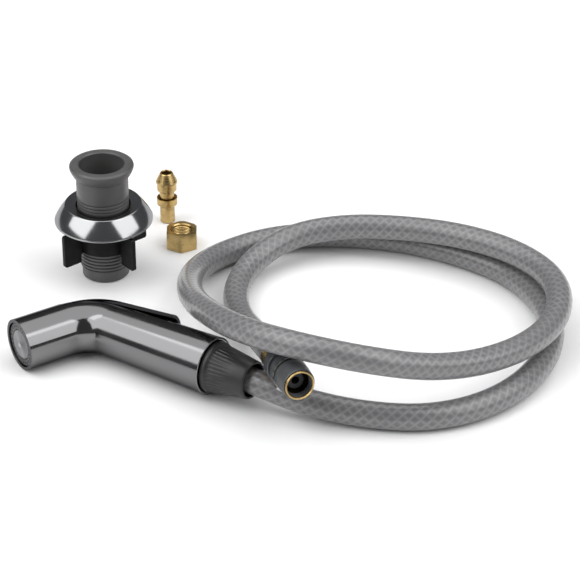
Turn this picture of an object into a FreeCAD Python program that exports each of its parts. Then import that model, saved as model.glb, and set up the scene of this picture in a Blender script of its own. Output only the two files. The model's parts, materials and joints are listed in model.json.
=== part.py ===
import FreeCAD, Part
import math
import os
import Sketcher

# A hand spray kit for a sink: the spray head with its hose and end coupling, the deck holder that it
# stands in, and the loose brass insert and nut that join it to a tap. The pieces lie on one floor,
# z = 0, round the holder, whose axis is the Z axis. All lengths are millimetres, angles degrees.

V = FreeCAD.Vector
Z_UP = V(0, 0, 1)

DIMENSIONS = {
    # deck holder
    "tube_height": 66.8, "tube_radius": 14.0, "pilot_radius": 12.75, "thread_radius": 13.9,
    "thread_depth": 0.8, "thread_pitch": 2.0, "thread_bottom": 6.4, "thread_turns": 21,
    "flange_radius": 17.3, "flange_thick": 1.6, "flange_cone": 5.4, "socket_radius": 12.15,
    "socket_depth": 16.0, "passage_radius": 11.0,
    "plate_radius": 26.5, "plate_base": 32.6, "plate_height": 10.3, "plate_top_radius": 20.7,
    "plate_hole": 14.6, "plate_wall": 1.2,
    "gasket_radius": 22.5, "gasket_thick": 2.0, "washer_radius": 21.0, "washer_thick": 1.2,
    "sleeve_gap": 0.3,
    "hub_radius": 15.6, "hub_base": 17.6, "wing_radius": 27.0, "wing_base": 12.3, "wing_thick": 2.2,
    "wing_inner": 16.4, "wing_angle": 39.5,
    # brass insert and nut
    "insert_height": 30.8, "insert_rod": 4.15, "insert_head": 6.0, "insert_tip": 3.5,
    "insert_bore": 2.75, "cup_radius": 5.8, "cup_base": 10.4, "cup_height": 4.8,
    "insert_x": 31.2, "insert_y": 56.8,
    "nut_flats": 16.4, "nut_height": 10.4, "nut_bore": 5.7, "nut_hole": 4.3,
    "nut_x": 40.4, "nut_y": 28.7,
    # spray head: the origin of its own frame is where the handle's axis meets the head's axis
    "bend_x": -3.2, "bend_y": -75.2, "bend_height": 13.84, "handle_azimuth": -34.0,
    "handle_pitch": -0.905, "bend_angle": 66.5, "bend_radius": 22.0,
    "handle_length": 78.8, "head_length": 40.5, "head_radius": 13.6,
    "rear_radius": 15.1, "cavity_radius": 8.8, "way_radius": 6.4, "recess_radius": 10.2, "mouth_radius": 11.9,
    "mouth_depth": 9.5, "collar_seat_radius": 12.4, "collar_seat_depth": 9.0,
    "lever_end": 46.0, "lever_outer": 13.6, "lever_inner": 11.8, "lever_edge": 6.2,
    "lever_lift": 8.0, "pin_radius": 1.2, "pin_height": 8.2, "pin_turn": 45.0, "pin_half": 9.6,
    "stem_x": 18.0, "stem_radius": 1.8, "chamber_radius": 4.4,
    "hose_start": 74.0, "collar_length": 24.5, "collar_ring_radius": 13.3, "collar_mouth_radius": 9.8,
    # hose and coupling
    "hose_radius": 6.75, "hose_bore": 4.75,
    "coupling_x": 105.4, "coupling_y": -164.0, "coupling_z": 32.6, "coupling_azimuth": -70.0,
    "coupling_tilt": 7.0, "coupling_radius": 8.7, "coupling_ring": 8.8, "coupling_bore": 6.5,
    "coupling_seat": 26.0,
}

doc = FreeCAD.newDocument("hand_spray_kit")
sheet = doc.addObject("Spreadsheet::Sheet", "Sizes")
for row, (alias, value) in enumerate(DIMENSIONS.items(), start=1):
    sheet.set("A%d" % row, alias)
    sheet.set("B%d" % row, str(value))
    sheet.setAlias("B%d" % row, alias)
doc.recompute()


class Size:
    """A number together with the sheet expression that gives it."""

    def __init__(self, value, text):
        self.value = float(value)
        self.text = text

    def __add__(self, other):
        other = size(other)
        return Size(self.value + other.value, "(%s + %s)" % (self.text, other.text))

    def __sub__(self, other):
        other = size(other)
        return Size(self.value - other.value, "(%s - %s)" % (self.text, other.text))

    def __mul__(self, factor):
        return Size(self.value * factor, "(%s * %s)" % (self.text, factor))

    def __neg__(self):
        return self * -1.0


def size(item):
    """The Size of a sheet alias, or of a plain number."""
    if isinstance(item, Size):
        return item
    if isinstance(item, str):
        return Size(DIMENSIONS[item], "Sizes." + item)
    return Size(item, "(%s)" % float(item))


def bind(thing, **sizes):
    """Bind an object's properties to the sheet."""
    for name, item in sizes.items():
        thing.setExpression(name, size(item).text)


# --- frames -----------------------------------------------------------------------------------------

def frame_at(point, towards=Z_UP):
    """A frame at a point whose Z axis points along a direction."""
    return FreeCAD.Placement(point, FreeCAD.Rotation(Z_UP, towards))


def coupling_axis():
    turn = math.radians(DIMENSIONS["coupling_azimuth"])
    tilt = math.radians(DIMENSIONS["coupling_tilt"])
    return V(math.cos(turn) * math.cos(tilt), math.sin(turn) * math.cos(tilt), math.sin(tilt))


HOLDER = frame_at(V(0, 0, 0))
INSERT = frame_at(V(DIMENSIONS["insert_x"], DIMENSIONS["insert_y"], 0))
NUT = frame_at(V(DIMENSIONS["nut_x"], DIMENSIONS["nut_y"], 0))
SPRAY = FreeCAD.Placement(
    V(DIMENSIONS["bend_x"], DIMENSIONS["bend_y"], DIMENSIONS["bend_height"]),
    FreeCAD.Rotation(Z_UP, DIMENSIONS["handle_azimuth"])
    * FreeCAD.Rotation(V(0, 1, 0), DIMENSIONS["handle_pitch"]))
BEND = math.radians(DIMENSIONS["bend_angle"])
HEAD_WAY = V(-math.cos(BEND), -math.sin(BEND), 0)
ALONG_HANDLE = SPRAY * frame_at(V(0, 0, 0), V(1, 0, 0))
ALONG_HEAD = SPRAY * frame_at(V(0, 0, 0), HEAD_WAY)
ALONG_STEM = SPRAY * frame_at(V(DIMENSIONS["stem_x"], 0, 0), V(0, 1, 0))
COUPLING = frame_at(
    V(DIMENSIONS["coupling_x"], DIMENSIONS["coupling_y"], DIMENSIONS["coupling_z"]), coupling_axis())

nodes = {}


def keep(thing, label, placement):
    """Name a finished sub-part and set it in its place."""
    thing.Label = label
    thing.Placement = placement
    nodes[label] = thing
    return thing


# --- bodies made from sketches ----------------------------------------------------------------------

def origin_plane(body, role):
    return next(feature for feature in body.Origin.OriginFeatures if feature.Role == role)


def outline(body, name, role, points):
    """A closed sketch through points whose coordinates are bound to the sheet."""
    sketch = body.newObject("Sketcher::SketchObject", name)
    sketch.AttachmentSupport = (origin_plane(body, role), "")
    sketch.MapMode = "FlatFace"
    corners = [(size(across), size(up)) for across, up in points]
    count = len(corners)
    for index, (across, up) in enumerate(corners):
        after = corners[(index + 1) % count]
        sketch.addGeometry(Part.LineSegment(
            V(across.value, up.value, 0), V(after[0].value, after[1].value, 0)))
    for index in range(count):
        sketch.addConstraint(Sketcher.Constraint("Coincident", index, 2, (index + 1) % count, 1))
    for index, (across, up) in enumerate(corners):
        for kind, item in (("DistanceX", across), ("DistanceY", up)):
            sketch.addConstraint(Sketcher.Constraint(kind, -1, 1, index, 1, item.value))
            sketch.setExpression("Constraints[%d]" % (sketch.ConstraintCount - 1), item.text)
    return sketch


def spin(body, kind, name, points):
    """Turn an outline of (radius, height) points about the body's Z axis."""
    sketch = outline(body, name + "_outline", "XZ_Plane", points)
    feature = body.newObject("PartDesign::" + kind, name)
    feature.Profile = sketch
    feature.ReferenceAxis = (sketch, ["V_Axis"])
    feature.Angle = 360
    doc.recompute()
    return feature


def round_pattern(body, feature, count):
    pattern = body.newObject("PartDesign::PolarPattern", feature.Name + "_ring")
    pattern.Originals = [feature]
    pattern.Axis = (origin_plane(body, "Z_Axis"), [""])
    pattern.Angle = 360
    pattern.Occurrences = count
    body.Tip = pattern
    doc.recompute()
    return pattern


def drilled_ring(body, name, circle, radius, count):
    """A ring of holes through the body, parallel to its axis."""
    sketch = body.newObject("Sketcher::SketchObject", name + "_outline")
    sketch.AttachmentSupport = (origin_plane(body, "XY_Plane"), "")
    sketch.MapMode = "FlatFace"
    sketch.addGeometry(Part.Circle(V(size(circle).value, 0, 0), Z_UP, size(radius).value))
    sketch.addConstraint(Sketcher.Constraint("PointOnObject", 0, 3, -1))
    for kind, item in (("DistanceX", size(circle)), ("Radius", size(radius))):
        where = (-1, 1, 0, 3) if kind == "DistanceX" else (0,)
        sketch.addConstraint(Sketcher.Constraint(kind, *where, item.value))
        sketch.setExpression("Constraints[%d]" % (sketch.ConstraintCount - 1), item.text)
    before = body.Shape.Volume
    hole = body.newObject("PartDesign::Pocket", name)
    hole.Profile = sketch
    hole.Type = "ThroughAll"
    hole.Midplane = True
    doc.recompute()
    round_pattern(body, hole, count)
    if not body.Shape.Volume < before - 0.5 * count * size(radius).value ** 2:
        raise RuntimeError("holes of %s cut nothing" % body.Label)


def turned(label, placement, points):
    """A turned piece: an outline of (radius, height) points spun about Z."""
    body = doc.addObject("PartDesign::Body", label)
    spin(body, "Revolution", label + "_turned", points)
    return keep(body, label, placement)


def ring(label, placement, inner, outer, low, high):
    """A plain ring between two radii and two heights."""
    return turned(label, placement, [(inner, low), (outer, low), (outer, high), (inner, high)])


# --- solids made from primitives --------------------------------------------------------------------

def rod(name, radius, length, placement):
    """A cylinder along the Z axis of a placement."""
    solid = doc.addObject("Part::Cylinder", name)
    bind(solid, Radius=radius, Height=length)
    solid.Placement = placement
    return solid


def block(name, low, high):
    """A box between two corners."""
    solid = doc.addObject("Part::Box", name)
    sides = [size(top) - size(bottom) for bottom, top in zip(low, high)]
    bind(solid, Length=sides[0], Width=sides[1], Height=sides[2])
    solid.Placement.Base = V(*(size(corner).value for corner in low))
    return solid


def joined(name, solids):
    fuse = doc.addObject("Part::MultiFuse", name)
    fuse.Shapes = solids
    return fuse


def cut(name, base, tool):
    result = doc.addObject("Part::Cut", name)
    result.Base = base
    result.Tool = tool
    return result


def common(name, base, tool):
    result = doc.addObject("Part::Common", name)
    result.Base = base
    result.Tool = tool
    return result


# --- deck holder ------------------------------------------------------------------------------------

def holder_tube():
    """The threaded tube: a flanged socket at the top, rings of thread, and a plain pilot end."""
    top = size("tube_height")
    rim = size("flange_radius")
    edge = top - "flange_thick"
    neck = edge - "flange_cone"
    thread_top = size("thread_bottom") + size("thread_pitch") * DIMENSIONS["thread_turns"]
    socket_floor = top - "socket_depth"
    body = doc.addObject("PartDesign::Body", "holder_tube")
    spin(body, "Revolution", "tube_wall", [
        ("passage_radius", 0), (size("pilot_radius") - 0.6, 0), ("pilot_radius", 0.6),
        ("pilot_radius", "thread_bottom"), ("thread_radius", size("thread_bottom") + 0.8),
        ("thread_radius", thread_top), ("tube_radius", thread_top + 0.5), ("tube_radius", neck),
        (size("tube_radius") + 0.5, neck), (rim - 1.7, edge - 4.0), (rim - 0.8, edge - 2.3),
        (rim - 0.2, edge - 0.9), (rim, edge), (rim - 0.2, edge + 0.8), (rim - 1.3, top),
        (size("socket_radius") + 0.5, top), ("socket_radius", top - 0.5), ("socket_radius", socket_floor),
        ("passage_radius", socket_floor - 1.15)])
    root = size("thread_radius") - "thread_depth"
    low = size("thread_bottom") + 1.0
    groove = spin(body, "Groove", "thread_groove", [
        (root, low), (size("thread_radius") + 0.4, low - 0.75), (size("thread_radius") + 0.4, low + 0.75)])
    rings = body.newObject("PartDesign::LinearPattern", "thread_rings")
    rings.Originals = [groove]
    rings.Direction = (origin_plane(body, "Z_Axis"), [""])
    rings.Occurrences = DIMENSIONS["thread_turns"]
    rings.Length = size("thread_pitch").value * (DIMENSIONS["thread_turns"] - 1)
    rings.setExpression("Length", (size("thread_pitch") * (DIMENSIONS["thread_turns"] - 1)).text)
    body.Tip = rings
    doc.recompute()
    keep(body, "holder_tube", HOLDER)


def escutcheon():
    """The domed cover plate: a thin shell with a rolled lower lip and a flat top round the hole."""
    base = size("plate_base")
    top = base + "plate_height"
    wall = size("plate_wall")
    lip = size("plate_radius")
    crown = size("plate_top_radius")
    turned("escutcheon", HOLDER, [
        (lip - wall, base), (lip - 0.4, base), (lip, base + 0.5), (lip, base + 1.3), (lip - 1.5, base + 3.9),
        (lip - 3.3, base + 6.7), (crown, top - 0.6), (crown - 0.7, top), ("plate_hole", top - 0.5),
        ("plate_hole", top - 0.5 - wall), (crown - 1.2, top - wall), (lip - 4.7, base + 6.1),
        (lip - 3.0, base + 3.5)])


def holder_rings():
    """The gasket inside the cover plate and the fibre washer between it and the wing nut."""
    gap = size("sleeve_gap")
    base = size("plate_base")
    ring("escutcheon_gasket", HOLDER, gap + "tube_radius", "gasket_radius",
         base + 0.1, base + "gasket_thick")
    ring("friction_washer", HOLDER, size("tube_radius") + 0.15, "washer_radius",
         base - "washer_thick" - 0.1, base - 0.1)


def wing_nut():
    """The nut under the deck: a round hub with four flat wings."""
    top = size("plate_base") - "washer_thick" - 0.3
    body = doc.addObject("PartDesign::Body", "wing_nut")
    spin(body, "Revolution", "hub", [
        (size("tube_radius") + 0.0, "hub_base"), (size("hub_radius") - 0.4, "hub_base"),
        ("hub_radius", size("hub_base") + 0.4), ("hub_radius", top), (size("tube_radius") + 0.0, top)])
    wing = outline(body, "wing_outline", "XZ_Plane", [
        ("wing_inner", "wing_base"), (size("wing_radius") - 0.8, "wing_base"),
        ("wing_radius", size("wing_base") + 0.8), ("wing_radius", top - 0.8),
        (size("wing_radius") - 0.8, top), (size("hub_radius") - 0.7, top),
        (size("hub_radius") - 0.7, size("hub_base") + 0.6), ("wing_inner", size("hub_base") - 0.6)])
    plate = body.newObject("PartDesign::Pad", "wing")
    plate.Profile = wing
    plate.Midplane = True
    plate.Length = DIMENSIONS["wing_thick"]
    plate.setExpression("Length", size("wing_thick").text)
    doc.recompute()
    round_pattern(body, plate, 4)
    keep(body, "wing_nut", FreeCAD.Placement(V(0, 0, 0), FreeCAD.Rotation(Z_UP, DIMENSIONS["wing_angle"])))


# --- brass insert and nut ---------------------------------------------------------------------------

def brass_insert():
    """The barbed insert, standing on its plain end, and the cup pressed on its rod."""
    top = size("insert_height")
    turned("barb_insert", INSERT, [
        ("insert_bore", 0), (size("insert_rod") - 0.3, 0), ("insert_rod", 0.3), ("insert_rod", top - 11.6),
        (size("insert_head") - 0.8, top - 11.0), (size("insert_head") - 0.5, top - 10.6),
        (size("insert_head") - 0.5, top - 6.6), ("insert_head", top - 6.2),
        ("insert_head", top - 5.2), (size("insert_tip") + 0.2, top - 0.4), (size("insert_tip") - 0.2, top),
        (size("insert_bore") + 0.3, top), ("insert_bore", top - 0.4)])
    base = size("cup_base")
    rim = base + "cup_height"
    turned("compression_sleeve", INSERT, [
        (size("insert_rod") + 0.04, base), (size("cup_radius") - 0.8, base), ("cup_radius", base + 0.8),
        ("cup_radius", rim), (size("cup_radius") - 0.6, rim), (size("cup_radius") - 0.6, base + 2.2),
        (size("insert_rod") + 0.04, base + 2.2)])


def hex_nut():
    """The compression nut: a chamfered hexagon with a wide threaded bore over a narrow hole."""
    top = size("nut_height")
    body = doc.addObject("PartDesign::Body", "hex_nut")
    corner = size("nut_flats") * (1.0 / math.sqrt(3.0))
    flat = size("nut_flats") * 0.5
    hexagon = outline(body, "hexagon", "XY_Plane", [
        (0, -corner), (flat, corner * -0.5), (flat, corner * 0.5), (0, corner),
        (-flat, corner * 0.5), (-flat, corner * -0.5)])
    solid = body.newObject("PartDesign::Pad", "hexagon_pad")
    solid.Profile = hexagon
    solid.Length = DIMENSIONS["nut_height"]
    solid.setExpression("Length", top.text)
    doc.recompute()
    spin(body, "Groove", "corner_chamfer", [
        (flat + 0.1, top + 0.5), (corner + 1.0, top + 0.5), (corner + 1.0, top - 0.9), (corner, top - 0.9)])
    spin(body, "Groove", "bore", [
        (0, -0.5), ("nut_hole", -0.5), ("nut_hole", 1.4), ("nut_bore", 2.6), ("nut_bore", top - 0.6),
        (size("nut_bore") + 1.1, top + 0.5), (0, top + 0.5)])
    keep(body, "hex_nut", NUT)


# --- spray head -------------------------------------------------------------------------------------

def bend_centre(depth=0.0):
    """The centre of the bend's arc, in the spray head's frame."""
    reach = DIMENSIONS["bend_radius"] * math.tan(BEND / 2)
    return V(reach, -DIMENSIONS["bend_radius"], depth)


def bent_rod(name, radius, head_end, handle_end):
    """A round rod along the head, the bend and the handle."""
    reach = bend_centre().x
    handle = rod(name + "_handle", radius, size(handle_end) - reach, frame_at(V(reach, 0, 0), V(1, 0, 0)))
    head = rod(name + "_head", radius, size(head_end) - reach, frame_at(HEAD_WAY * reach, HEAD_WAY))
    elbow = doc.addObject("Part::Torus", name + "_elbow")
    bind(elbow, Radius1="bend_radius", Radius2=radius, Angle3="bend_angle")
    elbow.Placement = FreeCAD.Placement(bend_centre(), FreeCAD.Rotation(Z_UP, 90))
    return joined(name, [handle, elbow, head])


def outer_band(name, edge, front_turn, end):
    """The space on the outside of the bend, beyond an edge distance from the centre line."""
    half = 20
    centre = bend_centre(-half)
    sector = doc.addObject("Part::Cylinder", name + "_sector")
    bind(sector, Radius=size("bend_radius") + 25, Height=2 * half, Angle=front_turn)
    sector.Placement = FreeCAD.Placement(centre, FreeCAD.Rotation(Z_UP, 90))
    core = rod(name + "_core", size("bend_radius") + edge, 2 * half, frame_at(centre))
    slab = block(name + "_slab", (centre.x - 0.001, edge, -half), (end, 25, half))
    return joined(name, [cut(name + "_arc", sector, core), slab])


def pin_point():
    """The lever's pivot, in the spray head's frame."""
    turn = math.radians(90 + DIMENSIONS["pin_turn"])
    reach = DIMENSIONS["bend_radius"] + DIMENSIONS["pin_height"]
    return bend_centre() + V(reach * math.cos(turn), reach * math.sin(turn), 0)


def pin_rod(name, radius, half):
    point = pin_point()
    return rod(name, radius, size(half) * 2, frame_at(V(point.x, point.y, -size(half).value)))


def spray_body():
    """The bent shell: a tapered handle and a head, hollow, with a recess for the lever."""
    reach = bend_centre().x
    skin = bent_rod("skin", "head_radius", "head_length", size("handle_length") - 20)
    taper = doc.addObject("Part::Cone", "handle_taper")
    bind(taper, Radius1="head_radius", Radius2="rear_radius", Height=size("handle_length") - reach)
    taper.Placement = frame_at(V(reach, 0, 0), V(1, 0, 0))
    way = bent_rod("water_way", "way_radius", "head_length", 20)
    cavity = rod("cavity", "cavity_radius", size("handle_length") - 6, frame_at(V(7, 0, 0), V(1, 0, 0)))
    seat_start = size("handle_length") - "collar_seat_depth"
    seat = rod("collar_seat", "collar_seat_radius", size("collar_seat_depth") + 1,
               frame_at(V(seat_start.value, 0, 0), V(1, 0, 0)))
    mouth_start = size("head_length") - "mouth_depth"
    mouth = rod("mouth", "mouth_radius", size("mouth_depth") + 1,
                frame_at(HEAD_WAY * mouth_start.value, HEAD_WAY))
    recess_shell = cut("recess_shell", bent_rod("recess_outer", 20, 15, 60),
                       bent_rod("recess_inner", "recess_radius", 16, 61))
    recess = common("recess", outer_band("recess_band", size("lever_edge") - 1.2, 63,
                                         size("lever_end") + 1.2), recess_shell)
    stem_hole = rod("stem_hole", size("stem_radius") + 0.8, 6,
                    frame_at(V(DIMENSIONS["stem_x"], DIMENSIONS["cavity_radius"] - 1, 0), V(0, 1, 0)))
    tools = joined("spray_body_spaces", [way, cavity, seat, mouth, recess, stem_hole,
                                         pin_rod("pin_hole", "pin_radius", "pin_half")])
    shell = cut("spray_body", joined("spray_body_solid", [skin, taper]), tools)
    keep(shell, "spray_body", SPRAY)


def thumb_lever():
    """The lever: a curved plate over the outside of the bend, hinged at its front end."""
    plate = cut("lever_shell", bent_rod("lever_outer_rod", "lever_outer", 15, 60),
                bent_rod("lever_inner_rod", "lever_inner", 16, 61))
    band = outer_band("lever_band", "lever_edge", 60, "lever_end")
    lever = cut("thumb_lever", common("lever_plate", band, plate),
                pin_rod("lever_hole", size("pin_radius") + 0.06, 15))
    point = pin_point()
    lift = FreeCAD.Placement(V(0, 0, 0), FreeCAD.Rotation(Z_UP, DIMENSIONS["lever_lift"]), point)
    keep(lever, "thumb_lever", SPRAY * lift)
    keep(pin_rod("lever_pin", "pin_radius", "pin_half"), "lever_pin",
         SPRAY * frame_at(V(point.x, point.y, -DIMENSIONS["pin_half"])))


def valve_housing():
    """The plastic block in the handle: water comes in behind, up past the seat, and out in front."""
    core = rod("housing_core", size("cavity_radius") - 0.1, 28, frame_at(V(8, 0, 0), V(1, 0, 0)))
    chamber = rod("chamber", "chamber_radius", 20, frame_at(V(DIMENSIONS["stem_x"], -7.2, 0), V(0, 1, 0)))
    inlet = rod("inlet", 1.9, 20, frame_at(V(18, -4.9, 0), V(1, 0, 0)))
    pocket = rod("inlet_pocket", 6.9, 4, frame_at(V(33, 0, 0), V(1, 0, 0)))
    outlet = rod("outlet", 1.0, 12, frame_at(V(7, 2.1, 0), V(1, 0, 0)))
    keep(cut("valve_housing", core, joined("housing_spaces", [chamber, inlet, pocket, outlet])),
         "valve_housing", SPRAY)


def valve_parts():
    """The stem that the lever pushes, with its poppet, seat, seal and screwed cap."""
    stem = size("stem_radius")
    wall = size("chamber_radius") - 0.05
    turned("valve_stem", ALONG_STEM, [
        (0, -3.0), (3.3, -3.0), (3.3, -0.3), (3.0, 0), (stem, 0), (stem, 14.5), (stem - 0.7, 15.1),
        (0, 15.1)])
    ring("valve_seat", ALONG_STEM, 2.6, wall, 0.1, 1.0)
    seal = doc.addObject("Part::Torus", "stem_o_ring")
    bind(seal, Radius1=3.1, Radius2=1.22)
    keep(seal, "stem_o_ring", ALONG_STEM * frame_at(V(0, 0, 4.3)))
    turned("valve_cap", ALONG_STEM, [
        (stem + 0.05, 5.6), (wall, 5.6), (wall, 7.1), (wall - 0.4, 7.45), (stem + 0.05, 7.45)])


def valve_spring():
    """The coil spring under the poppet."""
    coil = doc.addObject("Part::Helix", "spring_line")
    coil.Pitch = 1.0
    coil.Height = 3.4
    coil.Radius = 2.6
    wire = doc.addObject("Part::Circle", "spring_wire")
    wire.Radius = 0.3
    wire.Placement = frame_at(V(coil.Radius.Value, 0, 0), V(0, 1, 0))
    doc.recompute()
    spring = doc.addObject("Part::Sweep", "valve_spring")
    spring.Sections = [wire]
    spring.Spine = (coil, [])
    spring.Solid = True
    spring.Frenet = True
    keep(spring, "valve_spring", ALONG_STEM * frame_at(V(0, 0, -6.8)))


def face_parts():
    """The spray face: perforated ring, rippled disc and its screw, carrier, seal and flow screen."""
    front = size("head_length")
    rim = size("mouth_radius") - 0.1
    body = doc.addObject("PartDesign::Body", "face_ring")
    spin(body, "Revolution", "face_ring_turned", [
        (7.9, front - 4.0), (rim, front - 4.0), (rim, front - 1.4), (rim - 0.6, front - 0.8),
        (8.4, front - 0.8), (7.9, front - 1.2)])
    drilled_ring(body, "face_hole", 9.9, 0.55, 24)
    keep(body, "face_ring", ALONG_HEAD)
    ripples = []
    for ripple in range(5):
        start = 2.0 + 1.1 * ripple
        ripples += [(start, front - 0.5), (start + 0.5, front - 0.2), (start + 0.6, front - 0.5)]
    turned("face_disc", ALONG_HEAD, [(1.0, front - 3.9), (7.6, front - 3.9), (7.6, front - 0.9)]
           + ripples[::-1] + [(1.0, front - 0.5)])
    turned("face_screw", ALONG_HEAD, [
        (0, front - 7.0), (0.95, front - 7.0), (0.95, front - 0.45), (1.4, front - 0.45),
        (1.4, front - 0.1), (0, front - 0.1)])
    carrier = doc.addObject("PartDesign::Body", "face_carrier")
    spin(carrier, "Revolution", "face_carrier_turned", [
        (0.95, front - 7.4), (rim, front - 7.4), (rim, front - 4.1), (0.95, front - 4.1)])
    drilled_ring(carrier, "carrier_hole", 8.0, 1.6, 8)
    keep(carrier, "face_carrier", ALONG_HEAD)
    ring("face_seal", ALONG_HEAD, 10.4, rim, front - 8.4, front - 7.5)
    screen = doc.addObject("PartDesign::Body", "flow_screen")
    spin(screen, "Revolution", "flow_screen_turned", [
        (0, front - 9.4), (rim, front - 9.4), (rim, front - 8.5), (0, front - 8.5)])
    drilled_ring(screen, "screen_hole", 5.6, 0.8, 12)
    keep(screen, "flow_screen", ALONG_HEAD)


def hose_end_parts():
    """What joins the hose to the handle, and the collar that turns over it."""
    rear = size("handle_length")
    start = size("hose_start")
    mouth = rear + "collar_length"
    lip = size("collar_mouth_radius")
    big = size("collar_ring_radius")
    turned("hose_collar", ALONG_HANDLE, [
        (10.6, rear - 7.0), (12.0, rear - 7.0), (12.0, rear + 0.3), (big - 0.3, rear + 0.3),
        (big, rear + 0.6), (big, rear + 2.9), (big - 0.3, rear + 3.3), (big - 0.7, rear + 3.5),
        (lip, mouth - 0.3), (lip - 0.3, mouth), (lip - 0.9, mouth), (lip - 1.1, mouth - 0.4),
        (lip - 0.9, mouth - 3.0), (10.6, rear + 3.0)])
    turned("hose_stem", ALONG_HANDLE, [
        (3.2, 37.8), (8.5, 37.8), (8.5, 41.0), (6.0, 41.0), (6.0, start - 4.0), (6.6, start - 3.5),
        (6.6, start), (4.3, start), (4.7, start + 4.0), (4.3, start + 4.2), (4.7, start + 8.4),
        (4.3, start + 8.6), (4.7, start + 12.0), (4.2, start + 13.0), (3.2, start + 13.0)])
    ring("stem_washer", ALONG_HANDLE, 3.4, 8.5, 36.1, 37.7)
    ring("guide_bush", ALONG_HANDLE, 6.05, size("cavity_radius") - 0.1, 54.0, 60.0)
    ring("snap_ring", ALONG_HANDLE, 6.02, 8.3, 60.4, 61.6)
    ring("crimp_ferrule", ALONG_HANDLE, size("hose_radius") + 0.02, 7.5, start + 1.5, start + 13.0)


# --- hose -------------------------------------------------------------------------------------------

HOSE_FLOOR = 6.8
HOSE_TURNS = [
    # out of the collar, down to the floor and round the first turn
    (108, -143, 9), (139, -151, HOSE_FLOOR), (170, -153.5, HOSE_FLOOR), (200, -141, HOSE_FLOOR),
    (224, -115, HOSE_FLOOR), (237, -81, HOSE_FLOOR), (236, -45, HOSE_FLOOR), (220, -13, HOSE_FLOOR),
    (192, 9, HOSE_FLOOR), (160, 24, HOSE_FLOOR), (125, 29.5, HOSE_FLOOR), (90, 25, HOSE_FLOOR),
    (62, 6, 7.5),
    # up the left side, over the coupling, and down on the first turn
    (48, -24, 13.5), (47.5, -60, 23), (56, -97, 35), (76, -133, 45), (106, -155.5, 49.5),
    (139, -161, 45), (170, -149, 33), (199, -131, 25.5), (225, -107, 22.3), (240.5, -77, 21.7),
    (240.5, -44, 21.7), (222, -16, 21.7), (193, 3, 21.2), (161, 14, 19.6), (130, 18, 18.2),
    (101, 12.5, 15.5),
    # inside the first turn to the floor, and up to the coupling
    (79.5, -5, 9.5), (70.5, -32, HOSE_FLOOR), (74, -61, 8.5), (83, -90, 16),
]


def hose_route():
    """The hose's corner points, from the handle's stem to the coupling's stem."""
    start = SPRAY.multVec(V(DIMENSIONS["hose_start"], 0, 0))
    first_bend = SPRAY.multVec(V(DIMENSIONS["hose_start"] + 26, 0, 0))
    last_bend = COUPLING.multVec(V(0, 0, -DIMENSIONS["coupling_seat"] - 20))
    end = COUPLING.multVec(V(0, 0, -DIMENSIONS["coupling_seat"]))
    return [start, first_bend] + [V(*point) for point in HOSE_TURNS] + [last_bend, end]


def arc_path(points):
    """Straight runs joined by tangent arcs, each as large as its two runs allow."""
    edges = []
    radii = []
    here = points[0]
    for before, corner, after in zip(points, points[1:], points[2:]):
        back = before - corner
        ahead = after - corner
        setback = 0.45 * min(back.Length, ahead.Length)
        half_turn = (math.pi - back.getAngle(ahead)) / 2
        radius = setback / math.tan(half_turn)
        radii.append(radius)
        enter = corner + back.normalize() * setback
        leave = corner + ahead.normalize() * setback
        middle = back + ahead
        middle.normalize()
        crest = corner + middle * (radius / math.cos(half_turn) - radius)
        edges.append(Part.LineSegment(here, enter).toShape())
        edges.append(Part.Arc(enter, crest, leave).toShape())
        here = leave
    edges.append(Part.LineSegment(here, points[-1]).toShape())
    print("hose bend radii, mm:", [round(radius) for radius in radii])
    return Part.Wire(edges)


def swept(name, radius, line, edge_names, start_frame):
    section = doc.addObject("Part::Circle", name + "_section")
    bind(section, Radius=radius)
    section.Placement = start_frame
    solid = doc.addObject("Part::Sweep", name)
    solid.Sections = [section]
    solid.Spine = (line, edge_names)
    solid.Solid = True
    return solid


def hose():
    """The braided hose: a tube along its whole route."""
    points = hose_route()
    path = arc_path(points)
    line = doc.addObject("Part::Feature", "hose_line")
    line.Shape = path
    names = ["Edge%d" % (index + 1) for index in range(len(path.Edges))]
    start_frame = frame_at(points[0], points[1] - points[0])
    wall = cut("hose", swept("hose_outside", "hose_radius", line, names, start_frame),
               swept("hose_inside", "hose_bore", line, names, start_frame))
    keep(wall, "hose", FreeCAD.Placement())
    doc.recompute()
    section = math.pi * (DIMENSIONS["hose_radius"] ** 2 - DIMENSIONS["hose_bore"] ** 2)
    print("hose length, mm: %.1f, volume over section times length: %.5f"
          % (path.Length, wall.Shape.Volume / (section * path.Length)))


# --- end coupling -----------------------------------------------------------------------------------

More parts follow.
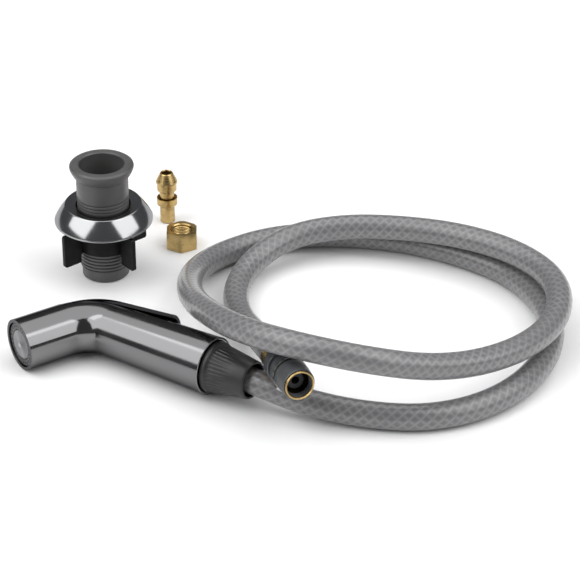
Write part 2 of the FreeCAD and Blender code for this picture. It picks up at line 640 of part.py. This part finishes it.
def coupling_parts():
    """The swivel coupling on the hose's far end; its mouth is at height 0 of its own frame."""
    outside = size("coupling_radius")
    bore = size("coupling_bore")
    seat = -size("coupling_seat")
    turned("thread_insert", COUPLING, [
        (bore, -6.3), (bore + 0.3, -6.7), (bore + 0.3, -12.8), (7.2, -12.8), (7.2, -1.3), (7.5, -1.1),
        (7.5, -0.4), (7.2, 0), (bore + 0.3, 0), (bore, -0.4)])
    turned("coupling_sleeve", COUPLING, [
        (7.22, -12.8), (outside - 0.3, -12.8), (outside, -12.4), (outside, -9.0), (outside - 0.6, -1.7),
        (outside - 0.95, -1.2), (7.22, -1.4)])
    ring("coupling_washer", COUPLING, 3.6, bore - 0.05, -12.8, -11.5)
    turned("coupling_core", COUPLING, [
        (2.0, -13.0), (3.5, -13.0), (3.5, -11.0), (4.6, -10.6), (4.6, -7.2), (4.2, -6.8), (2.0, -6.8)])
    turned("coupling_body", COUPLING, [
        (3.95, -26.0), (7.3, -26.0), (7.3, -21.8), (7.7, -21.4), (7.7, -20.2), (outside - 0.3, -19.8),
        (outside, -19.4), (outside, -15.2), (7.7, -14.8), (7.7, -13.2), (3.95, -13.2)])
    coupling_clip()
    turned("rear_ring", COUPLING, [
        (7.32, -28.8), ("coupling_ring", -28.8), ("coupling_ring", -23.4),
        (size("coupling_ring") - 0.4, -22.8), (7.32, -22.8)])
    turned("coupling_stem", COUPLING, [
        (2.9, -36.0), (4.3, -36.0), (4.7, -35.0), (4.7, -31.5), (4.3, -31.3), (4.7, -28.0), (4.3, -27.8),
        (4.3, seat - 0.4), (3.93, seat), (3.93, -13.1), (2.9, -13.1)])
    ring("end_ferrule", COUPLING, size("hose_radius") + 0.02, 7.3, -37.0, -29.0)


def coupling_clip():
    """The wire clip in the coupling body's front groove, with its small ear."""
    body = doc.addObject("PartDesign::Body", "coupling_clip")
    spin(body, "Revolution", "clip_wire", [(7.75, -14.6), (8.9, -14.6), (8.9, -13.5), (7.75, -13.5)])
    ear = outline(body, "ear_outline", "XZ_Plane", [(8.8, -16.8), (9.7, -16.8), (9.7, -13.5), (8.8, -13.5)])
    tab = body.newObject("PartDesign::Pad", "ear")
    tab.Profile = ear
    tab.Midplane = True
    tab.Length = 4.0
    doc.recompute()
    keep(body, "coupling_clip", COUPLING * FreeCAD.Placement(V(0, 0, 0), FreeCAD.Rotation(Z_UP, 250)))


# --- build, test and write --------------------------------------------------------------------------

def build():
    for make in (holder_tube, escutcheon, holder_rings, wing_nut, brass_insert, hex_nut, spray_body,
                 thumb_lever, valve_housing, valve_parts, valve_spring, face_parts, hose_end_parts, hose,
                 coupling_parts):
        make()
    doc.recompute()


def check():
    for thing in doc.Objects:
        if "Invalid" in thing.State or "Error" in thing.State:
            raise RuntimeError("%s failed: %s" % (thing.Label, thing.State))
    for label, thing in nodes.items():
        if thing.Shape.isNull() or not thing.Shape.isValid() or not thing.Shape.Solids:
            raise RuntimeError("%s has no valid solid" % label)


def write():
    os.makedirs("parts", exist_ok=True)
    for label, thing in nodes.items():
        thing.Shape.exportStep(os.path.join("parts", label + ".step"))
    print(len(nodes), "sub-parts written")


build()
check()
write()
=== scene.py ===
import json
import math

import bmesh
import bpy
from mathutils import Matrix, Vector


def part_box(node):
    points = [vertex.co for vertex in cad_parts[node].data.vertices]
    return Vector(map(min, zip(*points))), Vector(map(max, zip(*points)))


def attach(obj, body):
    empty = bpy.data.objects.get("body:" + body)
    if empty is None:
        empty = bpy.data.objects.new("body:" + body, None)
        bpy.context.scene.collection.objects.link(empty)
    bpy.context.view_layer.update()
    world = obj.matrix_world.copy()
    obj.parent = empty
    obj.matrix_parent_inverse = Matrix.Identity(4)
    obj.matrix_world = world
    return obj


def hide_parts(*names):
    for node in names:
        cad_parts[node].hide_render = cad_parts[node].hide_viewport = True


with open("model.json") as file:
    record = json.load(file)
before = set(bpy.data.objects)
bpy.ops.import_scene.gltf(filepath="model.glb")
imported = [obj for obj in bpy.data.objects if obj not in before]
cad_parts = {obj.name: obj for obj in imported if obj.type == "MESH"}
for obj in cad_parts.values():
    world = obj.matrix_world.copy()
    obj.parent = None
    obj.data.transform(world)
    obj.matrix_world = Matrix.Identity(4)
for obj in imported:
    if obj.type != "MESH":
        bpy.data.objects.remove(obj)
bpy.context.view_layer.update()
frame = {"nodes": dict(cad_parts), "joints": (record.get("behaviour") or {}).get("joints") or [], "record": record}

NODES = frame["nodes"]
JOINTS = {joint["name"]: joint for joint in frame["joints"]}
MM = 0.001
Z_UP = Vector((0, 0, 1))


# --- frame --------------------------------------------------------------------------------------

def axis_frame(point, axis):
    """A matrix whose Z axis runs along an axis through a point."""
    turn = Z_UP.rotation_difference(Vector(axis).normalized()).to_matrix().to_4x4()
    return Matrix.Translation(Vector(point)) @ turn


HANDLE = axis_frame(JOINTS["collar_turn"]["pos_m"], JOINTS["collar_turn"]["axis"])
COUPLING = axis_frame(JOINTS["coupling_spin"]["pos_m"], JOINTS["coupling_spin"]["axis"])
HOLDER = Matrix.Identity(4)
NUT_LOW, NUT_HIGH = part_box("hex_nut")
NUT = Matrix.Translation(((NUT_LOW[0] + NUT_HIGH[0]) / 2, (NUT_LOW[1] + NUT_HIGH[1]) / 2, NUT_LOW[2]))


# --- camera -------------------------------------------------------------------------------------

def make_camera():
    """A long lens in front, looking down at the group."""
    target = Vector((0.1005, -0.0200, 0.0))
    elevation = math.radians(31)
    distance = 1.3
    data = bpy.data.cameras.new("camera")
    data.lens = 149.5
    data.sensor_width = 36
    data.clip_start = 0.05
    camera = bpy.data.objects.new("camera", data)
    bpy.context.collection.objects.link(camera)
    camera.location = target + distance * Vector((0, -math.cos(elevation), math.sin(elevation)))
    camera.rotation_euler = (target - camera.location).to_track_quat("-Z", "Y").to_euler()
    bpy.context.scene.camera = camera


make_camera()


# --- mesh helpers -------------------------------------------------------------------------------

def piece(name, vertices, faces, placement, body, smooth=True):
    """A new mesh piece that rides on a body."""
    mesh = bpy.data.meshes.new(name)
    mesh.from_pydata([placement @ Vector(vertex) for vertex in vertices], [], faces)
    mesh.validate()
    shape = bmesh.new()
    shape.from_mesh(mesh)
    bmesh.ops.recalc_face_normals(shape, faces=shape.faces)
    shape.to_mesh(mesh)
    shape.free()
    for polygon in mesh.polygons:
        polygon.use_smooth = smooth
    thing = bpy.data.objects.new(name, mesh)
    bpy.context.collection.objects.link(thing)
    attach(thing, body)
    return thing


def grid_faces(rows, columns, closed_rows=False):
    """Quads between rows of points; each row closes on itself, and so may the set of rows."""
    faces = []
    for row in range(rows if closed_rows else rows - 1):
        after = (row + 1) % rows
        for column in range(columns):
            right = (column + 1) % columns
            faces.append((row * columns + column, row * columns + right,
                          after * columns + right, after * columns + column))
    return faces


def lathe(name, profile, columns, placement, body, wave=None):
    """A turned mesh with a closed profile in mm; wave(index, angle) adds to a point's radius."""
    vertices = []
    for index, (radius, height) in enumerate(profile):
        for column in range(columns):
            angle = 2 * math.pi * column / columns
            reach = radius + (wave(index, angle) if wave else 0)
            vertices.append((reach * math.cos(angle) * MM, reach * math.sin(angle) * MM, height * MM))
    faces = grid_faces(len(profile), columns, closed_rows=True)
    return piece(name, vertices, faces, placement, body)


def thread_ridge(name, radius, depth, pitch, turns, low, placement, body):
    """A helical ridge on the inside of a bore, tapering out at both ends."""
    steps = 48
    count = int(turns * steps)
    vertices = []
    for step in range(count + 1):
        angle = 2 * math.pi * step / steps
        height = low + pitch * step / steps
        rise = depth * min(1, step / 12, (count - step) / 12)
        for out, up in ((0.15, -0.45), (-rise, 0), (0.15, 0.45)):
            reach = radius + out
            vertices.append((reach * math.cos(angle) * MM, reach * math.sin(angle) * MM,
                             (height + up * pitch) * MM))
    faces = grid_faces(count + 1, 3)
    return piece(name, vertices, faces, placement, body, smooth=False)


# --- hose ---------------------------------------------------------------------------------------

HOSE_DIAMETER = 0.0135
HOSE_COLUMNS = 40
HOSE_STEP = 0.0012
BRAID_YARNS = 8
FLOOR = 0.0068
HOSE_ROUTE = [
    (0.058141, -0.116575, 0.015009), (0.079693, -0.131112, 0.015419), (0.108, -0.143, 0.009),
    (0.139, -0.151, FLOOR), (0.17, -0.1535, FLOOR), (0.2, -0.141, FLOOR), (0.224, -0.115, FLOOR),
    (0.237, -0.081, FLOOR), (0.236, -0.045, FLOOR), (0.22, -0.013, FLOOR), (0.192, 0.009, FLOOR),
    (0.16, 0.024, FLOOR), (0.125, 0.0295, FLOOR), (0.09, 0.025, FLOOR), (0.062, 0.006, 0.0075),
    (0.048, -0.024, 0.0135), (0.0475, -0.06, 0.023), (0.056, -0.097, 0.035), (0.076, -0.133, 0.045),
    (0.106, -0.1555, 0.0495), (0.139, -0.161, 0.045), (0.17, -0.149, 0.033), (0.199, -0.131, 0.0255),
    (0.225, -0.107, 0.0223), (0.2405, -0.077, 0.0217), (0.2405, -0.044, 0.0217), (0.222, -0.016, 0.0217),
    (0.193, 0.003, 0.0212), (0.161, 0.014, 0.0196), (0.13, 0.018, 0.0182), (0.101, 0.0125, 0.0155),
    (0.0795, -0.005, 0.0095), (0.0705, -0.032, FLOOR), (0.074, -0.061, 0.0085), (0.083, -0.09, 0.016),
    (0.089784, -0.121096, 0.026994), (0.096574, -0.13975, 0.029431),
]


def route_line():
    """The hose's smooth centre line, read from a NURBS spline through its route."""
    data = bpy.data.curves.new("hose_line", "CURVE")
    data.dimensions = "3D"
    spline = data.splines.new("NURBS")
    spline.points.add(len(HOSE_ROUTE) - 1)
    for point, place in zip(spline.points, HOSE_ROUTE):
        point.co = (*place, 1)
    spline.order_u = 3
    spline.use_endpoint_u = True
    spline.resolution_u = 24
    holder = bpy.data.objects.new("hose_line", data)
    bpy.context.collection.objects.link(holder)
    mesh = bpy.data.meshes.new_from_object(holder)
    line = [vertex.co.copy() for vertex in mesh.vertices]
    bpy.data.objects.remove(holder)
    bpy.data.meshes.remove(mesh)
    return line


def even_stations(line, gap):
    """Points along a line at an even gap, each with its distance from the start."""
    stations = [(line[0], 0.0)]
    walked = 0.0
    for before, after in zip(line, line[1:]):
        step = (after - before).length
        while stations[-1][1] + gap <= walked + step:
            reach = stations[-1][1] + gap
            stations.append((before.lerp(after, (reach - walked) / step), reach))
        walked += step
    stations.append((line[-1], walked))
    return stations


def make_hose():
    """The braided tube: a mesh whose UVs run in braid turns along it and once round it."""
    line = route_line()
    stations = even_stations(line, HOSE_STEP)
    columns = HOSE_COLUMNS
    vertices = []
    side = Vector((0, 0, 1))
    for index, (point, reach) in enumerate(stations):
        before = stations[max(index - 1, 0)][0]
        after = stations[min(index + 1, len(stations) - 1)][0]
        along = (after - before).normalized()
        side = (side - along * side.dot(along)).normalized()
        other = along.cross(side)
        for column in range(columns):
            angle = 2 * math.pi * column / columns
            spot = side * math.cos(angle) + other * math.sin(angle)
            vertices.append(point + spot * HOSE_DIAMETER / 2)
    tube = piece("hose_skin", vertices, grid_faces(len(stations), columns), Matrix.Identity(4),
                 "hand_spray")
    turn_length = math.pi * HOSE_DIAMETER
    layer = tube.data.uv_layers.new(name="braid")
    for polygon in tube.data.polygons:
        corners = [tube.data.loops[loop].vertex_index for loop in polygon.loop_indices]
        wraps = max(corner % columns for corner in corners) == columns - 1
        for loop, corner in zip(polygon.loop_indices, corners):
            round_turn = corner % columns
            if wraps and round_turn == 0:
                round_turn = columns
            layer.data[loop].uv = (stations[corner // columns][1] / turn_length, round_turn / columns)
    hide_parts("hose")
    return tube


hose_skin = make_hose()


# --- materials ----------------------------------------------------------------------------------

class Finish:
    """A node material with a Principled shader and short ways to feed it."""

    def __init__(self, name, colour, roughness, metallic=0.0, **sockets):
        self.material = bpy.data.materials.new(name)
        self.material.use_nodes = True
        self.tree = self.material.node_tree
        self.shader = self.tree.nodes["Principled BSDF"]
        self.colour = colour
        self.set("Base Color", (*colour, 1))
        self.set("Roughness", roughness)
        self.set("Metallic", metallic)
        for socket, value in sockets.items():
            self.set(socket.replace("_", " "), value)

    def set(self, socket, value):
        self.shader.inputs[socket].default_value = value

    def node(self, kind, **values):
        node = self.tree.nodes.new(kind)
        for name, value in values.items():
            setattr(node, name, value)
        return node

    def link(self, source, target):
        self.tree.links.new(source, target)

    def maths(self, operation, first, second=None, third=None):
        node = self.node("ShaderNodeMath", operation=operation)
        for slot, item in enumerate((first, second, third)):
            if item is None:
                continue
            if isinstance(item, (int, float)):
                node.inputs[slot].default_value = item
            else:
                self.link(item, node.inputs[slot])
        return node.outputs[0]

    def places(self):
        return self.node("ShaderNodeTexCoord").outputs["Object"]

    def noise(self, scale, detail=4.0, stretch=(1, 1, 1)):
        """Noise of a given number of features per metre, in object space."""
        mapping = self.node("ShaderNodeMapping")
        mapping.inputs["Scale"].default_value = stretch
        self.link(self.places(), mapping.inputs["Vector"])
        noise = self.node("ShaderNodeTexNoise")
        noise.inputs["Scale"].default_value = scale
        noise.inputs["Detail"].default_value = detail
        self.link(mapping.outputs[0], noise.inputs["Vector"])
        return noise.outputs["Fac"]

    def spread(self, source, low, high, out_low, out_high):
        node = self.node("ShaderNodeMapRange", interpolation_type="SMOOTHSTEP")
        limits = {"From Min": low, "From Max": high, "To Min": out_low, "To Max": out_high}
        for name, value in limits.items():
            node.inputs[name].default_value = value
        self.link(source, node.inputs["Value"])
        return node.outputs["Result"]

    def mix(self, factor, first, second):
        node = self.node("ShaderNodeMix", data_type="RGBA")
        for slot, item in ((6, first), (7, second)):
            if isinstance(item, tuple):
                node.inputs[slot].default_value = (*item, 1)
            else:
                self.link(item, node.inputs[slot])
        self.link(factor, node.inputs[0])
        return node.outputs[2]

    def vary_colour(self, source, shade):
        """Blend towards a shade of the base colour where the source is high."""
        other = tuple(channel * shade for channel in self.colour)
        self.link(self.mix(source, self.colour, other), self.shader.inputs["Base Color"])

    def vary_roughness(self, source, low, high):
        self.link(self.spread(source, 0.3, 0.7, low, high), self.shader.inputs["Roughness"])

    def bump(self, height, distance, strength=1.0):
        node = self.node("ShaderNodeBump")
        node.inputs["Distance"].default_value = distance
        node.inputs["Strength"].default_value = strength
        self.link(height, node.inputs["Height"])
        self.link(node.outputs[0], self.shader.inputs["Normal"])


def plating(name, colour, edge):
    """Polished plating with faint polishing haze; edge darkens its rim reflections."""
    finish = Finish(name, colour, 0.1, 1.0)
    finish.set("Specular Tint", (edge, edge, edge * 1.03, 1))
    finish.vary_roughness(finish.noise(60, 5), 0.12, 0.18)
    finish.bump(finish.noise(45, 2), 0.00002, 0.25)
    return finish.material


def moulded(name, colour, roughness, grain=0.00003, shade=0.75, coat=0.0, gloss=0.5):
    """Moulded plastic: a fine grain, uneven sheen and slightly uneven colour."""
    finish = Finish(name, colour, roughness)
    finish.set("Coat Weight", coat)
    finish.set("Coat Roughness", 0.25)
    finish.set("Specular IOR Level", gloss)
    finish.vary_colour(finish.spread(finish.noise(35, 6), 0.42, 0.72, 0, 1), shade)
    finish.vary_roughness(finish.noise(220, 3), roughness - 0.06, roughness + 0.08)
    finish.bump(finish.noise(2600, 3), grain, 0.6)
    return finish.material


def machined_brass():
    """Turned brass: fine rings round the vertical axis, dull and stained in places."""
    finish = Finish("machined_brass", (0.54, 0.385, 0.165), 0.3, 1.0)
    rings = finish.noise(90, 4, (1, 1, 40))
    stain = finish.spread(finish.noise(160, 6), 0.45, 0.7, 0, 1)
    finish.vary_colour(stain, 0.62)
    finish.vary_roughness(rings, 0.22, 0.42)
    finish.bump(rings, 0.00004, 0.5)
    return finish.material


def plain_steel():
    finish = Finish("plain_steel", (0.42, 0.42, 0.41), 0.28, 1.0)
    finish.vary_roughness(finish.noise(400, 4), 0.2, 0.4)
    finish.bump(finish.noise(900, 4), 0.00001, 0.5)
    return finish.material


def black_rubber():
    finish = Finish("black_rubber", (0.018, 0.018, 0.018), 0.7)
    finish.vary_colour(finish.spread(finish.noise(300, 5), 0.4, 0.7, 0, 1), 1.8)
    finish.bump(finish.noise(1800, 4), 0.00003, 0.6)
    return finish.material


def braided_vinyl():
    """Clear vinyl over a braid: two sets of slanting yarns, seen as a diamond pattern."""
    finish = Finish("braided_vinyl", (0.20, 0.198, 0.204), 0.34)
    finish.set("Coat Weight", 0.5)
    finish.set("Coat Roughness", 0.16)
    finish.set("Subsurface Weight", 0.25)
    finish.set("Subsurface Radius", (0.002, 0.002, 0.002))
    uv = finish.node("ShaderNodeUVMap", uv_map="braid")
    parts = finish.node("ShaderNodeSeparateXYZ")
    finish.link(uv.outputs[0], parts.inputs[0])
    along = parts.outputs[0]
    around = parts.outputs[1]
    edges = []
    crowns = []
    for way in (1, -1):
        slant = finish.maths("MULTIPLY_ADD", along, way, around)
        place = finish.maths("FRACT", finish.maths("MULTIPLY", slant, BRAID_YARNS))
        off = finish.maths("ABSOLUTE", finish.maths("SUBTRACT", place, 0.5))
        edges.append(finish.spread(off, 0.40, 0.49, 0, 1))
        crowns.append(finish.spread(off, 0.1, 0.5, 1, 0))
    lines = finish.maths("MAXIMUM", edges[0], finish.maths("MULTIPLY", edges[1], 0.45))
    weave = finish.maths("MULTIPLY", crowns[0], crowns[1])
    cloud = finish.spread(finish.noise(50, 4), 0.35, 0.7, 0, 1)
    base = finish.mix(weave, (0.21, 0.207, 0.213), (0.145, 0.143, 0.147))
    base = finish.mix(finish.maths("MULTIPLY", lines, 0.55), base, (0.31, 0.307, 0.315))
    base = finish.mix(finish.maths("MULTIPLY", cloud, 0.35), base, (0.165, 0.163, 0.167))
    finish.link(base, finish.shader.inputs["Base Color"])
    height = finish.maths("SUBTRACT", weave, finish.maths("MULTIPLY", lines, 0.35))
    finish.bump(height, 0.00012, 0.5)
    return finish.material


FINISHES = {
    # The three chrome finishes are copies of one plating with painted shade in their base colours: each is
    # darkened to stand in for the shade in its reflections, the lever most and the cover plate and rear lip least.
    "plating": plating("chrome_painted_shade", (0.19, 0.187, 0.191), 0.4),
    "lever_plating": plating("lever_chrome_painted_shade", (0.15, 0.152, 0.158), 0.35),
    "lit_copy_plating": plating("chrome_painted_lit", (0.36, 0.364, 0.37), 0.6),
    "steel": plain_steel(),
    "inner_plastic": moulded("inner_plastic", (0.03, 0.032, 0.034), 0.5),
    "brass": machined_brass(),
    "rubber": black_rubber(),
    "face_grey": moulded("face_plastic", (0.06, 0.06, 0.062), 0.42),
    "disc_grey": moulded("disc_plastic", (0.27, 0.27, 0.28), 0.36),
    "collar_grey": moulded("collar_plastic", (0.020, 0.020, 0.020), 0.42, shade=0.85),
    "coupling_grey": moulded("coupling_plastic", (0.060, 0.064, 0.068), 0.38, coat=0.2),
    "tube_grey": moulded("tube_plastic", (0.088, 0.086, 0.084), 0.42, coat=0.15),
    "nut_black": moulded("nut_plastic", (0.004, 0.0042, 0.0045), 0.5, gloss=0.2),
    "hose_vinyl": braided_vinyl(),
}


def dress(thing, slot):
    thing.data.materials.clear()
    thing.data.materials.append(FINISHES[slot])


def slot_of(node):
    # The cover plate takes the lighter copy of the chrome, with less painted shade than the handle.
    if node == "escutcheon":
        return "lit_copy_plating"
    return next(part["material_slot"] for part in frame["record"]["subparts"] if part["node"] == node)


for node, thing in NODES.items():
    dress(thing, slot_of(node))
dress(hose_skin, "hose_vinyl")


# --- detailed pieces ----------------------------------------------------------------------------

FLUTES = 36
FLUTE_DEPTH = 0.55
FLUTE_REACH = 0.62
FLUTE_RISE = 12


def make_collar():
    """The collar with its flutes, which are deepest near the handle and fade towards the hose."""
    profile = [(10.6, -7.0), (12.0, -7.0), (12.0, 0.3), (13.0, 0.3), (13.3, 0.6), (13.3, 2.9),
               (13.0, 3.3)]
    skirt = 16
    first = len(profile)
    for step in range(skirt + 1):
        share = step / skirt
        profile.append((12.65 - 2.85 * share ** 1.05, 3.5 + 20.6 * share))
    profile += [(9.5, 24.5), (8.9, 24.5), (8.7, 24.1), (8.9, 21.5), (10.6, 3.0)]

    def flutes(index, angle):
        share = (index - first) / skirt
        if not 0 <= share <= 1:
            return 0
        depth = FLUTE_DEPTH * min(1, share * FLUTE_RISE) * max(0, 1 - share / FLUTE_REACH)
        return -depth * (0.5 - 0.5 * math.cos(FLUTES * angle)) ** 2

    collar = lathe("fluted_collar", profile, 288, HANDLE, "collar", flutes)
    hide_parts("hose_collar")
    dress(collar, "collar_grey")


def make_threads():
    """Helical ridges in the coupling's mouth and in the brass nut; a thin dark shell over the coupling's bore is
    painted shade inside its mouth.
    """
    depth, pitch = 0.4, 1.0
    ridge = thread_ridge("coupling_thread", 6.5, depth, pitch, 4.6, -5.6, COUPLING, "coupling_nut")
    dress(ridge, "inner_plastic")
    # A thin dark shell just inside the coupling's bore: painted shade where light does not reach into the mouth.
    painted_shade_profile = [(6.42, -6.2), (6.47, -6.2), (6.47, -0.9), (6.42, -0.8)]
    painted_shade_piece = lathe("coupling_painted_shade", painted_shade_profile, 96, COUPLING, "coupling_nut")
    dress(painted_shade_piece, "inner_plastic")
    ridge = thread_ridge("nut_thread", 5.7, depth, pitch, 6.0, 3.2, NUT, "tap_nut")
    dress(ridge, "brass")


def make_rear_lip():
    """The chrome edge round the open end of the handle, in the lighter copy of the chrome (less painted shade than
    the handle).
    """
    profile = [(13.4, 0.0), (15.05, 0.0), (14.98, 0.14), (13.5, 0.14)]
    dress(lathe("rear_lip", profile, 128, HANDLE, "hand_spray"), "lit_copy_plating")


def make_plate():
    """The cover plate as one smooth dome with a rolled lip."""
    start, control, end = (26.5, 33.7), (24.6, 38.0), (20.9, 42.35)
    profile = [(25.3, 32.6), (26.1, 32.6), (26.4, 32.75), (26.5, 33.1)]
    steps = 24
    for step in range(steps + 1):
        share = step / steps
        profile.append(tuple((1 - share) ** 2 * a + 2 * share * (1 - share) * b + share ** 2 * c
                             for a, b, c in zip(start, control, end)))
    profile += [(20.7, 42.6), (20.4, 42.8), (20.0, 42.88), (19.5, 42.86), (15.0, 42.45), (14.7, 42.35),
                (14.6, 42.1), (14.6, 41.3), (15.0, 41.2), (19.4, 41.6), (20.0, 41.2), (21.8, 38.7),
                (23.5, 36.1), (25.1, 33.4)]
    plate = lathe("domed_plate", profile, 192, HOLDER, "cover_plate")
    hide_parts("escutcheon")
    # The lighter copy of the chrome: less painted shade than the handle.
    dress(plate, "lit_copy_plating")


make_collar()
make_threads()
make_rear_lip()
make_plate()


# --- floor and light ----------------------------------------------------------------------------

def make_floor():
    """A wide pale floor, a hair below the object."""
    mesh = bpy.data.meshes.new("floor")
    reach = 6
    corners = [(-reach, -reach, 0), (reach, -reach, 0), (reach, reach, 0), (-reach, reach, 0)]
    mesh.from_pydata(corners, [], [(0, 1, 2, 3)])
    floor = bpy.data.objects.new("floor", mesh)
    bpy.context.collection.objects.link(floor)
    floor.location.z = -0.0002
    pale = Finish("pale_floor", (0.97, 0.97, 0.97), 0.9, Specular_IOR_Level=0.1)
    floor.data.materials.append(pale.material)


LIT_POINT = Vector((0.09, -0.05, 0.02))


def area_light(name, azimuth, elevation, distance, width, height, radiance):
    """A soft panel that faces the object, placed by its direction from it."""
    turn, rise = math.radians(azimuth), math.radians(elevation)
    way = Vector((math.cos(rise) * math.cos(turn), math.cos(rise) * math.sin(turn), math.sin(rise)))
    data = bpy.data.lights.new(name, "AREA")
    data.shape = "RECTANGLE"
    data.size = width
    data.size_y = height
    data.energy = radiance * math.pi * width * height
    light = bpy.data.objects.new(name, data)
    bpy.context.collection.objects.link(light)
    light.location = LIT_POINT + distance * way
    light.rotation_euler = (-way).to_track_quat("-Z", "Y").to_euler()


def make_light():
    """Two side panels, a ceiling and a dim grey world."""
    area_light("left", -159, 42, distance=1.6, width=1.5, height=1.4, radiance=2.3)
    area_light("right", -20, 40, distance=1.6, width=1.5, height=1.4, radiance=2.2)
    area_light("ceiling", 90, 80, distance=1.8, width=2.8, height=2.4, radiance=1.4)
    world = bpy.data.worlds.new("studio")
    world.use_nodes = True
    background = world.node_tree.nodes["Background"]
    background.inputs["Color"].default_value = (0.80, 0.81, 0.83, 1)
    background.inputs["Strength"].default_value = 0.16
    bpy.context.scene.world = world
    bpy.context.scene.view_settings.view_transform = "Standard"


make_floor()
make_light()
